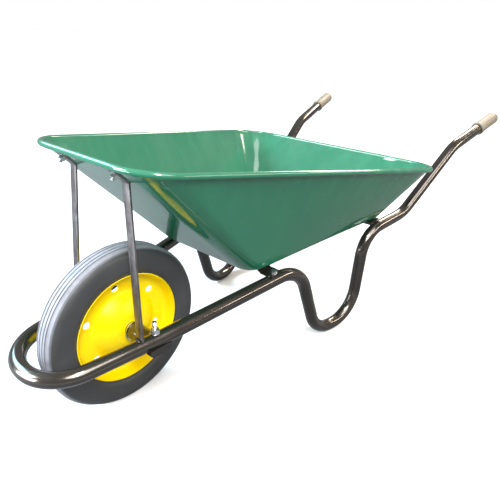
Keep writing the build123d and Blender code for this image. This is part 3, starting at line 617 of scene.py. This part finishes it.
def pan_column(centre, foot, foot_out, top, top_out):
    """One section of the sheet: out along the floor, up inside, round the bead, down outside and back."""
    up = Vector((0, 0, 1))
    wall = (top - top_out * BEAD_IN - foot).normalized()
    rise = math.atan2(wall.z, wall.xy.dot(foot_out.xy))
    inner_foot = foot + up * SHEET + foot_out * (SHEET / math.tan(rise) - SHEET / math.sin(rise))
    inner_top = top - top_out * BEAD_R
    column = [centre + (inner_foot - centre) * share for share in FLOOR_SHARES]
    start = inner_foot - (inner_foot - centre).normalized() * FLOOR_BEND
    end = inner_foot + (inner_top - inner_foot).normalized() * FLOOR_BEND
    column += eased(start, inner_foot, end)
    column += wall_points(end, inner_top, top_out, True)
    for k in range(BEAD_STEPS + 1):
        a = math.radians(180 - k * BEAD_TURN / BEAD_STEPS)
        column.append(top + top_out * (BEAD_R * math.cos(a)) + up * (BEAD_R * math.sin(a)))
    start = foot + wall * (FLOOR_BEND + SHEET)
    column += wall_points(column[-1], start, top_out, False)
    end = foot - (foot - centre).normalized() * (FLOOR_BEND + SHEET)
    column += eased(start, foot, end)
    column += [centre + (foot - centre) * share for share in reversed(FLOOR_SHARES)]
    return [at(*point) for point in column]


def build_pan():
    """The pressed sheet pan with its rolled bead."""
    floor = outline(FLOOR, lambda x: FLOOR_Z + FLOOR_SLOPE * (x - FLOOR_X))
    rim = outline(RIM, lambda x: RIM_Z + RIM_SLOPE * (x - RIM[0][0]))
    centre = sum(floor, Vector()) / len(floor)
    stations = zip(floor, outward_of(floor), rim, outward_of(rim))
    columns = [pan_column(centre, *station) for station in stations]
    rings = [list(ring) for ring in zip(*columns)]
    piece("pan", *skin(rings), PAN_GREEN, "frame", "pan_green", ("pan", "rim_wire"), 30)


build_pan()


# Wheel

AROUND, HOLES = 96, 6
HOLE_R, HOLE_CIRCLE, HOLE_SPAN = 8.0, 90.0, 4
HOLE_STEP = AROUND // HOLES
HOLE_START = math.radians(-7.5)
DISC_HALF_SHEET = 1.0
DISC_LINE = (
    (19.05, 31.0), (31.0, 31.0), (34.0, 30.6), (38.0, 29.0), (44.0, 26.0), (53.0, 21.1), (62.0, 14.2),
    (68.0, 8.8), (72.0, 5.0), (75.0, 2.6), (78.0, 1.3), (80.0, 1.05), (85.0, 1.03), (90.0, 1.03),
    (95.0, 1.03), (100.0, 1.05), (102.5, 1.2), (105.5, 1.9), (109.2, 3.2), (112.0, 6.2), (113.8, 10.4),
    (115.8, 15.6), (118.0, 20.3), (119.8, 23.4), (121.0, 26.0),
)
BAND = (11, 15)


def wheel_point(radius, y, angle, side):
    """Point about the axle; angle from straight up towards the rear."""
    x = AXLE.x - radius / 1000 * math.sin(angle)
    z = AXLE.z + radius / 1000 * math.cos(angle)
    return Vector((x, side * y / 1000, z))


def hole_border(hole):
    """Grid places round a hole, as (row of the line, step round the disc)."""
    centre = hole * HOLE_STEP
    low, high = BAND
    border = [(low, centre + k) for k in range(-HOLE_SPAN, HOLE_SPAN)]
    border += [(i, centre + HOLE_SPAN) for i in range(low, high)]
    border += [(high, centre - k) for k in range(-HOLE_SPAN, HOLE_SPAN)]
    border += [(i, centre - HOLE_SPAN) for i in range(high, low, -1)]
    return border


def hole_point(line, row, steps, base, side):
    """The point on a hole's edge that faces a grid place, given by its row and steps from the centre."""
    along = line[row][0] - HOLE_CIRCLE
    across = HOLE_CIRCLE * steps * 2 * math.pi / AROUND
    scale = HOLE_R / math.hypot(along, across)
    radial, tangential = HOLE_CIRCLE + along * scale, across * scale
    x = AXLE.x - (radial * math.sin(base) + tangential * math.cos(base)) / 1000
    z = AXLE.z + (radial * math.cos(base) - tangential * math.sin(base)) / 1000
    return Vector((x, side * line[sum(BAND) // 2][1] / 1000, z))


def disc_sheet(line, side):
    """One face of a disc with its round holes: verts, faces, and the hub, rim and hole borders."""
    turn = 2 * math.pi / AROUND
    verts, faces, index = [], [], {}
    for i, (radius, y) in enumerate(line):
        for j in range(AROUND):
            near_hole = min(j % HOLE_STEP, HOLE_STEP - j % HOLE_STEP) < HOLE_SPAN
            if BAND[0] < i < BAND[1] and near_hole:
                continue
            index[i, j] = len(verts)
            verts.append(wheel_point(radius, y, HOLE_START + j * turn, side))
    holes = []
    for hole in range(HOLES):
        centre = hole * HOLE_STEP
        border = hole_border(hole)
        ring = []
        for i, j in border:
            ring.append(len(verts))
            verts.append(hole_point(line, i, j - centre, HOLE_START + centre * turn, side))
        outer = [index[i, j % AROUND] for i, j in border]
        for k in range(len(border)):
            n = (k + 1) % len(border)
            faces.append((outer[k], outer[n], ring[n], ring[k]))
        holes.append(ring)
    for i in range(len(line) - 1):
        for j in range(AROUND):
            in_hole = j % HOLE_STEP < HOLE_SPAN or j % HOLE_STEP >= HOLE_STEP - HOLE_SPAN
            if BAND[0] <= i < BAND[1] and in_hole:
                continue
            k = (j + 1) % AROUND
            faces.append((index[i, j], index[i, k], index[i + 1, k], index[i + 1, j]))
    hub = [index[0, j] for j in range(AROUND)]
    rim = [index[len(line) - 1, j] for j in range(AROUND)]
    return verts, faces, [hub, rim] + holes


def build_discs():
    """Both pressed discs: two sheets joined at the hub, the rim and each hole."""
    for side, name in ((1, "left"), (-1, "right")):
        outer, outer_faces, outer_rings = disc_sheet(offset_line(DISC_LINE, DISC_HALF_SHEET), side)
        inner, inner_faces, inner_rings = disc_sheet(offset_line(DISC_LINE, -DISC_HALF_SHEET), side)
        base = len(outer)
        faces = outer_faces + [tuple(base + i for i in reversed(face)) for face in inner_faces]
        for a_ring, b_ring in zip(outer_rings, inner_rings):
            for k in range(len(a_ring)):
                n = (k + 1) % len(a_ring)
                faces.append((a_ring[k], a_ring[n], base + b_ring[n], base + b_ring[k]))
        node = "disc_" + name
        shape = (outer + inner, faces)
        fix_normals(piece(node + "_pressed", *shape, WHEEL_YELLOW, "wheel", "wheel_yellow", (node,), 40))


# Tyre section as (radius, half width): the seat on the discs, then the cheek up to the crown
SEAT = (
    (105.0, 0.0), (107.5, 0.8), (110.6, 2.6), (113.4, 5.7), (115.2, 9.8), (117.2, 15.0), (119.4, 19.7),
    (121.2, 22.8),
)
CHEEK = (
    (122.3, 25.6), (122.8, 26.6), (123.6, 27.0), (125.5, 27.3), (128.0, 29.2), (132.0, 31.0),
    (138.0, 31.8), (146.0, 32.0), (154.0, 31.9), (160.0, 31.4), (165.0, 30.2), (169.0, 28.3),
    (172.2, 25.9), (174.6, 23.2), (175.6, 22.6), (176.4, 21.4), (177.8, 18.6), (179.0, 16.6),
)
GROOVES = (13.5, 5.0)
GROOVE_SIDE = ((1.9, 0.1), (1.4, 0.4), (0.95, 1.4), (0.5, 2.3), (0.0, 2.5))
TYRE_STEPS = 200


def groove(centre):
    """One rounded tread groove, from its outer edge to its inner edge."""
    outer = [(TYRE_R - depth, centre + away) for away, depth in GROOVE_SIDE]
    inner = [(TYRE_R - depth, centre - away) for away, depth in reversed(GROOVE_SIDE[:-1])]
    return outer + inner


def build_tyre():
    """Solid tyre with a rounded cheek and four grooves."""
    outer, inner = GROOVES
    crown = groove(outer) + [(TYRE_R, 9.5)] + groove(inner) + [(TYRE_R, 1.5)]
    profile = list(SEAT) + smooth_line(CHEEK, 3) + crown
    profile = profile + [(r, -y) for r, y in reversed(profile[1:])]
    rings = []
    for radius, y in profile:
        turns = [2 * math.pi * k / TYRE_STEPS for k in range(TYRE_STEPS)]
        rings.append([wheel_point(radius, y, turn, 1) for turn in turns])
    shape = skin(rings, along=True)
    fix_normals(piece("tyre_solid", *shape, TYRE_RUBBER, "wheel", "tyre", ("tyre",), 50))


build_discs()
build_tyre()


# Fasteners, bars, grips and welds. Shapes are turned about a direction that leaves a seat point

RING_STEPS, THREAD_STEPS, GRIP_STEPS, BEAD_SIDES = 48, 24, 56, 8
LAND_SHARE, CORNER_SHARE = 0.47, 0.572
NUT_CHAMFER, HEAD_CHAMFER = math.tan(math.radians(30)), 0.577
THREAD_TIP, THREAD_CUT = 1.2, 0.9
# Nuts are (across flats, height, bore), washers (outer, bore), heads (size, height)
STAY_NUT, STAY_WASHER, STAY_HEAD = (13.0, 6.5, 4.05), (8.5, 4.05), (9.0, 4.4)
STAY_THREAD_R, STAY_THREAD_LENGTH = 4.0, 17.0
AXLE_NUT, AXLE_WASHER, AXLE_HEAD = (16.0, 8.0, 5.05), (10.0, 5.05), (16.0, 6.3)
AXLE_THREAD_R, AXLE_THREAD_LENGTH, AXLE_PITCH = 5.0, 26.4, 1.5
WASHER_T = 1.6
HOUSING_BOLT_X, HOUSING_SEAT_Z, HOUSING_BOLT_Y = 5.0, 174.0, 117.6 - math.tan(math.radians(10.1)) * 5.0
HOUSING_STACK = 7.0 + 2 * TUBE_R + 1.2
STAY_X, STAY_Y, STAY_BOLT_RUN, STAY_TAB = 16.0, 83.0, 24.0, 36.0
STAY_FOOT = (34.5 + STAY_T / 2, 111.5, 208.0)
STAY_EDGE, STAY_BEND = 0.8, 6.0
GRIP_PROFILE = (
    (-98.0, 16.2), (-98.0, 19.4), (-97.4, 20.1), (-96.4, 20.5), (-92.6, 20.5), (-91.5, 20.1), (-91.0, 19.4),
    (-90.0, 18.7), (-86.0, 18.5), (-70.0, 18.4), (-40.0, 18.3), (-15.0, 18.4), (-2.0, 18.5),
)
GRIP_END, GRIP_TIP_R, GRIP_ROUND = -2.0, 18.5, 7.0
STAY_WELD = ((26.0, 101.0, 211.0), (36.5, 101.0, 211.6), (41.0, 104.0, 211.8), (41.0, 119.0, 211.0))
STAY_WELD_R, HUB_WELD_R = 1.8, 1.6
HUB_WELD_CIRCLE, HUB_WELD_Y, HUB_WELD_STEPS = 20.2, 32.4, 60


def basis(direction):
    """Two unit vectors square to a direction."""
    side = direction.cross(Vector((0, 1, 0)))
    if side.length < 0.1:
        side = direction.cross(Vector((1, 0, 0)))
    side.normalize()
    return side, direction.cross(side)


def turned(seat, direction, shape, count=RING_STEPS):
    """Rings about a direction; each is (height, radius), and either may be a function of angle."""
    side, other = basis(direction)
    rings = []
    for height, radius in shape:
        ring = []
        for k in range(count):
            a = 2 * math.pi * k / count
            r = radius(a) if callable(radius) else radius
            h = height(a) if callable(height) else height
            ring.append(seat + (direction * h + (side * math.cos(a) + other * math.sin(a)) * r) / 1000)
        rings.append(ring)
    return rings


def hexagon(flats):
    """Radius of a hexagon at an angle, corners barely eased."""
    def radius(angle):
        local = (angle % (math.pi / 3)) - math.pi / 6
        return min(flats / 2 / math.cos(local), flats * CORNER_SHARE)
    return radius


def hex_nut(seat, direction, flats, height, bore):
    """Chamfered hexagon nut."""
    edge = hexagon(flats)
    land = flats * LAND_SHARE

    def drop(angle):
        return (edge(angle) - land) * NUT_CHAMFER

    shape = [
        (0, bore), (0, land), (lambda a: drop(a) * 0.8, edge), (lambda a: height - drop(a), edge),
        (height, land), (height, bore + 0.5), (height - 0.5, bore),
    ]
    return skin(turned(seat, direction, shape), along=True)


def hex_head(seat, direction, flats, height):
    """Chamfered bolt head with a closed top."""
    edge = hexagon(flats)
    land = flats * LAND_SHARE
    shape = [
        (0, 0.2), (0, land), (0.3, edge),
        (lambda a: height - (edge(a) - land) * HEAD_CHAMFER, edge), (height, land), (height, 0.2),
    ]
    return skin(turned(seat, direction, shape))


def dome_head(seat, direction, radius, height):
    """Low round head."""
    shape = [(0, 0.2), (0, radius * 0.97), (0.35, radius)]
    for k in range(1, 9):
        a = math.pi / 2 * k / 8
        shape.append((0.4 + (height - 0.4) * math.sin(a), max(0.2, radius * math.cos(a) ** 0.8)))
    return skin(turned(seat, direction, shape))


def thread(seat, direction, radius, start, end, pitch=1.25):
    """Rolled thread: a helical groove with a chamfered tip."""
    steps = int((end - start) / pitch * 6)
    shape = []
    for i in range(steps + 1):
        h = start + (end - start) * i / steps
        tip = min(1.0, (end - h) / THREAD_TIP)

        def wave(angle, h=h, tip=tip):
            phase = (h / pitch + angle / (2 * math.pi)) % 1
            depth = pitch * 0.5 * (1 - abs(2 * phase - 1))
            return radius - depth * THREAD_CUT - (1 - tip) * THREAD_CUT

        shape.append((h, wave))
    return skin(turned(seat, direction, shape, THREAD_STEPS))


def flat_washer(seat, direction, outer, bore, height=WASHER_T):
    """Washer with eased edges."""
    shape = [
        (0, bore), (0, outer - 0.25), (0.25, outer), (height - 0.3, outer), (height, outer - 0.3),
        (height, bore + 0.2), (height - 0.2, bore),
    ]
    return skin(turned(seat, direction, shape), along=True)


def both_sides(name, parts, material, body, slot, nodes, sharp=28):
    """One piece of the parts on the left and their mirror images on the right."""
    whole = merge(parts + [mirrored(part) for part in parts])
    piece(name, *whole, material, body, slot, nodes, sharp)


def zinc_pair(name, parts, node):
    """Plated fasteners on both sides, standing for one CAD node."""
    both_sides(name, parts, ZINC, "frame", "zinc", (node,))


def left_and_right(name, shape, suffix, material, slot, sharp):
    """A closed shape and its mirror image as two pieces, each standing for its own CAD node."""
    for end, part in (("_left", shape), ("_right", mirrored(shape))):
        fix_normals(piece(name + end + suffix, *part, material, "frame", slot, (name + end,), sharp))


WALL_FOOT = FLOOR_Z + FLOOR_SLOPE * (FLOOR[0][0] - FLOOR_X)
WALL_TOP_X = RIM[0][0] - BEAD_IN
WALL_TOP = RIM_Z + RIM_SLOPE * (WALL_TOP_X - RIM[0][0])
WALL_RATE = (WALL_TOP - WALL_FOOT) / (WALL_TOP_X - FLOOR[0][0])
WALL_ANGLE = math.atan(WALL_RATE)
WALL_OUT = Vector((math.sin(WALL_ANGLE), 0, -math.cos(WALL_ANGLE)))
WALL_UP = Vector((math.cos(WALL_ANGLE), 0, math.sin(WALL_ANGLE)))


def wall_height(x):
    """Height of the front wall's sheet at a station."""
    return WALL_FOOT + WALL_RATE * (x - FLOOR[0][0])


def bar_section():
    """A flat bar's section with eased edges, as (across, through)."""
    section = []
    for across, through, first in ((1, 1, 0), (-1, 1, 90), (-1, -1, 180), (1, -1, 270)):
        middle = (across * (STAY_HALF - STAY_EDGE), through * (STAY_T / 2 - STAY_EDGE))
        for k in range(4):
            a = math.radians(first + 30 * k)
            section.append((middle[0] + STAY_EDGE * math.cos(a), middle[1] + STAY_EDGE * math.sin(a)))
    return section


def build_stays():
    """Flat bars with a tab bent up against the front wall."""
    corner = Vector((STAY_X, STAY_Y, wall_height(STAY_X))) + WALL_OUT * STAY_T / 2
    corner = corner - Vector((0, 0, 1.2))
    foot = Vector(STAY_FOOT)
    tip = corner + WALL_UP * STAY_TAB
    path = [foot + (corner - foot) * (k / 12) for k in range(12)]
    path += corner_arc(foot, corner, tip, STAY_BEND, math.radians(8))
    path += [corner + WALL_UP * k for k in (14, 20, 26, 31, STAY_TAB)]
    rings = []
    for index, point in enumerate(path):
        ahead = path[min(index + 1, len(path) - 1)]
        behind = path[max(index - 1, 0)]
        run = (ahead - behind).normalized()
        wide = (Vector((0, 1, 0)) - run * run.y).normalized()
        thick = wide.cross(run)
        rings.append([at(*(point + wide * a + thick * b)) for a, b in bar_section()])
    left_and_right("stay", skin(rings), "_bar", STAY_STEEL, "stay_steel", 40)


def build_stay_fasteners():
    """Round bolts through the front wall, with washers and nuts on the stays' tabs."""
    x = STAY_X + STAY_BOLT_RUN * math.cos(WALL_ANGLE)
    wall = at(x, STAY_Y, wall_height(x))
    washer_seat = wall + WALL_OUT * STAY_T / 1000
    nut_seat = wall + WALL_OUT * (STAY_T + WASHER_T) / 1000
    head = dome_head(wall - WALL_OUT * SHEET / 1000, -WALL_OUT, *STAY_HEAD)
    shank = thread(wall, WALL_OUT, STAY_THREAD_R, 0.0, STAY_THREAD_LENGTH)
    zinc_pair("stay_nuts_hex", [hex_nut(nut_seat, WALL_OUT, *STAY_NUT)], "stay_nuts")
    zinc_pair("stay_washers_flat", [flat_washer(washer_seat, WALL_OUT, *STAY_WASHER)], "stay_washers")
    zinc_pair("stay_bolts_round", [head, shank], "stay_bolts")


def build_housing_fasteners():
    """Upright bolts through the axle housings and the tube, with the nuts on top."""
    up = Vector((0, 0, 1))
    seat = at(HOUSING_BOLT_X, HOUSING_BOLT_Y, HOUSING_SEAT_Z)
    washer_seat = seat + up * HOUSING_STACK / 1000
    nut_seat = seat + up * (HOUSING_STACK + WASHER_T) / 1000
    thread_end = HOUSING_STACK + AXLE_THREAD_LENGTH
    head = hex_head(seat, -up, *AXLE_HEAD)
    shank = thread(seat, up, AXLE_THREAD_R, HOUSING_STACK, thread_end, AXLE_PITCH)
    zinc_pair("housing_nuts_hex", [hex_nut(nut_seat, up, *AXLE_NUT)], "housing_nuts")
    zinc_pair("housing_washers_flat", [flat_washer(washer_seat, up, *AXLE_WASHER)], "housing_washers")
    zinc_pair("housing_bolts_hex", [head, shank], "housing_bolts")


def build_grips():
    """Moulded grips: collar, faint waist, round end."""
    end = Vector(FRAME_POINTS[-1])
    run = (end - Vector(FRAME_POINTS[-2])).normalized()
    profile = list(GRIP_PROFILE)
    for k in range(1, 9):
        a = math.pi / 2 * k / 8
        profile.append((GRIP_END + GRIP_ROUND * math.sin(a), GRIP_TIP_R - GRIP_ROUND * (1 - math.cos(a))))
    profile += [(5.0, 6.0), (5.0, 0.3)]
    shape = skin(turned(at(*end), run, profile, GRIP_STEPS))
    left_and_right("grip", shape, "_moulded", GRIP_PLASTIC, "grip_plastic", 35)


def weld_bead(points, radius, closed=False):
    """A lumpy weld run along points given in metres."""
    rings = []
    count = len(points)
    turns = [2 * math.pi * k / BEAD_SIDES for k in range(BEAD_SIDES)]
    for i, point in enumerate(points):
        ahead = points[(i + 1) % count] if closed else points[min(i + 1, count - 1)]
        behind = points[i - 1] if closed else points[max(i - 1, 0)]
        side, other = basis((ahead - behind).normalized())
        r = radius * (1 + 0.16 * math.sin(i * 1.9)) / 1000
        if not closed and i in (0, count - 1):
            r *= 0.35
        rings.append([point + (side * math.cos(a) + other * math.sin(a)) * r for a in turns])
    return skin(rings, along=closed)


def build_welds():
    """Weld runs at the stays' feet, and round the hub on both sides of the wheel."""
    beads = []
    corners = [at(*place) for place in STAY_WELD]
    for a, b in zip(corners, corners[1:]):
        steps = max(3, int((b - a).length * 1000 / 2))
        beads.append(weld_bead([a.lerp(b, k / steps) for k in range(steps + 1)], STAY_WELD_R))
    turns = [2 * math.pi * k / HUB_WELD_STEPS for k in range(HUB_WELD_STEPS)]
    ring = weld_bead([wheel_point(HUB_WELD_CIRCLE, HUB_WELD_Y, a, 1) for a in turns], HUB_WELD_R, True)
    both_sides("welds", beads, WELD, "frame", "frame_black", (), 60)
    both_sides("hub_welds", [ring], WHEEL_YELLOW, "wheel", "wheel_yellow", (), 60)


EASED = {
    "front_crossbar": 0.8,
    "rear_crossbar": 0.8,
    "housing_left": 0.9,
    "housing_right": 0.9,
    "hub_sleeve": 0.7,
    "axle_spacers": 0.4,
    "floor_nuts": 0.3,
    "crossbar_bolts": 0.4,
    "crossbar_washers": 0.25,
    "floor_washers": 0.25,
}


def ease_edges():
    """A small bevel on the CAD nodes that stay in view."""
    for name, width in EASED.items():
        bevel = NODES[name].modifiers.new("eased", "BEVEL")
        bevel.width = width / 1000
        bevel.segments = 2
        bevel.limit_method = "ANGLE"
        bevel.angle_limit = math.radians(40)
        bevel.harden_normals = False


build_stays()
build_stay_fasteners()
build_housing_fasteners()
build_grips()
build_welds()
ease_edges()


# Stage and light

FLOOR_HALF = 60.0
WORLD_LIGHT, WORLD_SEEN = 0.30, 1.0


def build_stage():
    """White studio paper that stays bright for the camera and darker for the light it throws back."""
    corners = [(x * FLOOR_HALF, y * FLOOR_HALF, 0) for x, y in ((-1, -1), (1, -1), (1, 1), (-1, 1))]
    mesh = bpy.data.meshes.new("floor")
    mesh.from_pydata(corners, [], [(0, 1, 2, 3)])
    material, tree, shader = shader_of("floor_paper")
    coords = object_coords(tree)
    tone = ramp(tree, noise_of(tree, coords, 2.0), 0.3, 0.7)
    paper = blend_colour(tree, tone, (0.90, 0.90, 0.90), (0.92, 0.92, 0.92))
    path = tree.nodes.new("ShaderNodeLightPath")
    seen = blend_colour(tree, path.outputs["Is Camera Ray"], (0.20, 0.20, 0.21), paper)
    tree.links.new(seen, shader.inputs["Base Color"])
    shader.inputs["Roughness"].default_value = 0.9
    shader.inputs["Specular IOR Level"].default_value = 0.2
    mesh.materials.append(material)
    floor = bpy.data.objects.new("floor", mesh)
    bpy.context.scene.collection.objects.link(floor)


def aim(light, toward):
    """Points a light along a direction and puts it in the scene."""
    light.rotation_mode = "QUATERNION"
    light.rotation_quaternion = Vector(toward).to_track_quat("-Z", "Y")
    bpy.context.scene.collection.objects.link(light)


def sun_light(name, source, strength, spread):
    """A sun whose light comes from the source's side, as wide as spread degrees."""
    data = bpy.data.lights.new(name, "SUN")
    data.energy = strength
    data.angle = math.radians(spread)
    aim(bpy.data.objects.new(name, data), [-v for v in source])


def area_light(name, place, target, size, power, colour=(1, 1, 1)):
    """A lit rectangle in metres and watts that faces the target."""
    data = bpy.data.lights.new(name, "AREA")
    data.shape = "RECTANGLE"
    data.size, data.size_y = size
    data.energy = power
    data.color = colour
    light = bpy.data.objects.new(name, data)
    light.location = place
    aim(light, Vector(target) - Vector(place))


def build_light():
    """Two suns and six panels; the world shows white to the camera and lights the object less."""
    world = bpy.data.worlds.new("studio")
    bpy.context.scene.world = world
    world.use_nodes = True
    tree = world.node_tree
    back = tree.nodes["Background"]
    back.inputs["Color"].default_value = (1, 1, 1, 1)
    path = tree.nodes.new("ShaderNodeLightPath")
    level = ramp(tree, path.outputs["Is Camera Ray"], 0.0, 1.0, WORLD_LIGHT, WORLD_SEEN)
    tree.links.new(level, back.inputs["Strength"])
    sun_light("front", (0.66, -0.50, 0.56), 2.2, 22)
    sun_light("side", (0.25, 0.62, 0.74), 2.2, 40)
    area_light("window", (1.25, -2.1, 1.8), (-0.1, 0.0, 0.5), (1.6, 0.9), 58, (0.46, 0.80, 1.0))
    area_light("nose", (2.5, -0.9, 0.6), (0.7, 0.0, 0.2), (1.6, 0.9), 60, (0.84, 0.91, 1.0))
    area_light("behind", (-2.5, 0.1, 2.1), (0.0, 0.1, 0.3), (2.2, 0.5), 60, (1.0, 0.88, 0.74))
    area_light("strip", (-1.0, 2.05, 1.25), (0.2, 0.15, 0.2), (1.8, 0.18), 20, (1.0, 0.87, 0.74))
    area_light("fill", (1.15, 1.1, 1.95), (-0.2, -0.25, 0.5), (0.3, 1.2), 42)
    area_light("pane", (1.95, -1.30, 1.62), (-0.25, 0.1, 0.6), (1.1, 0.55), 32, (0.76, 0.90, 1.0))
    view = bpy.context.scene.view_settings
    view.view_transform = "Standard"


build_stage()
build_light()
